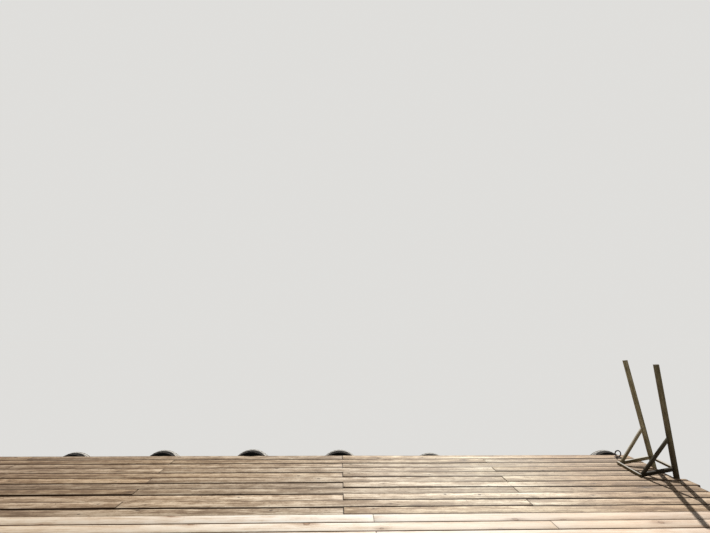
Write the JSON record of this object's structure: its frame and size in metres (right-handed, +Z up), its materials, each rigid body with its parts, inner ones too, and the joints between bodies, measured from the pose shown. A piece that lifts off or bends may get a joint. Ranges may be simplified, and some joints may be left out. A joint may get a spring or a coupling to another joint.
{
  "type": "wooden jetty",
  "caption": "Timber bathing jetty of staggered boards on joists, twin beams and round piles, with tyre fenders along one edge and a leaning wooden ladder at one end.",
  "frame": {"origin": "middle of the whole part's box at the level of the pile feet", "axes": "+X along the boards towards the ladder end, +Y from the land towards open water, +Z up"},
  "size_m": [11.7172, 2.5604, 2.6545],
  "materials": {
    "old_boards": "old weathered boards, grey-brown, dry and open-grained",
    "new_boards": "newer boards, pale and sun-bleached",
    "frame_timber": "sawn treated timber, weathered brown",
    "pile_wood": "round logs, dark and stained towards the water line",
    "ladder_wood": "planed olive-brown timber, weathered",
    "tyre_rubber": "worn tyre rubber, dull with a sun-bleached tread",
    "rusty_steel": "rusted dark steel"
  },
  "bodies": {
    "root": {"old_boards_row_01": "old_boards", "old_boards_row_02": "old_boards", "old_boards_row_03": "old_boards", "old_boards_row_04": "old_boards", "old_boards_row_05": "old_boards", "old_boards_row_06": "old_boards", "old_boards_row_07": "old_boards", "old_boards_row_08": "old_boards", "old_boards_row_09": "old_boards", "old_boards_row_10": "old_boards", "old_boards_row_11": "old_boards", "new_boards_row_12": "new_boards", "new_boards_row_13": "new_boards", "new_boards_row_14": "new_boards", "new_boards_row_15": "new_boards", "new_boards_row_16": "new_boards", "joint_joists": "frame_timber", "mid_joists": "frame_timber", "ladder_end_rim": "frame_timber", "landward_end_rim": "frame_timber", "lake_fascia": "frame_timber", "shore_fascia": "frame_timber", "lake_outer_beam": "frame_timber", "lake_inner_beam": "frame_timber", "shore_inner_beam": "frame_timber", "shore_outer_beam": "frame_timber", "lake_piles": "pile_wood", "shore_piles": "pile_wood", "tyre_fender_01": "tyre_rubber", "tyre_fender_02": "tyre_rubber", "tyre_fender_03": "tyre_rubber", "tyre_fender_04": "tyre_rubber", "tyre_fender_05": "tyre_rubber", "tyre_fender_06": "tyre_rubber", "tyre_fender_07": "tyre_rubber", "tyre_fender_08": "tyre_rubber", "tyre_fender_09": "tyre_rubber", "ladder_far_stile": "ladder_wood", "ladder_near_stile": "ladder_wood", "ladder_rungs": "ladder_wood", "ladder_arms": "ladder_wood", "ladder_braces": "ladder_wood", "ladder_foot_bar": "ladder_wood", "ladder_tie_bar": "ladder_wood", "mooring_eye": "rusty_steel"}
  },
  "joints": []
}
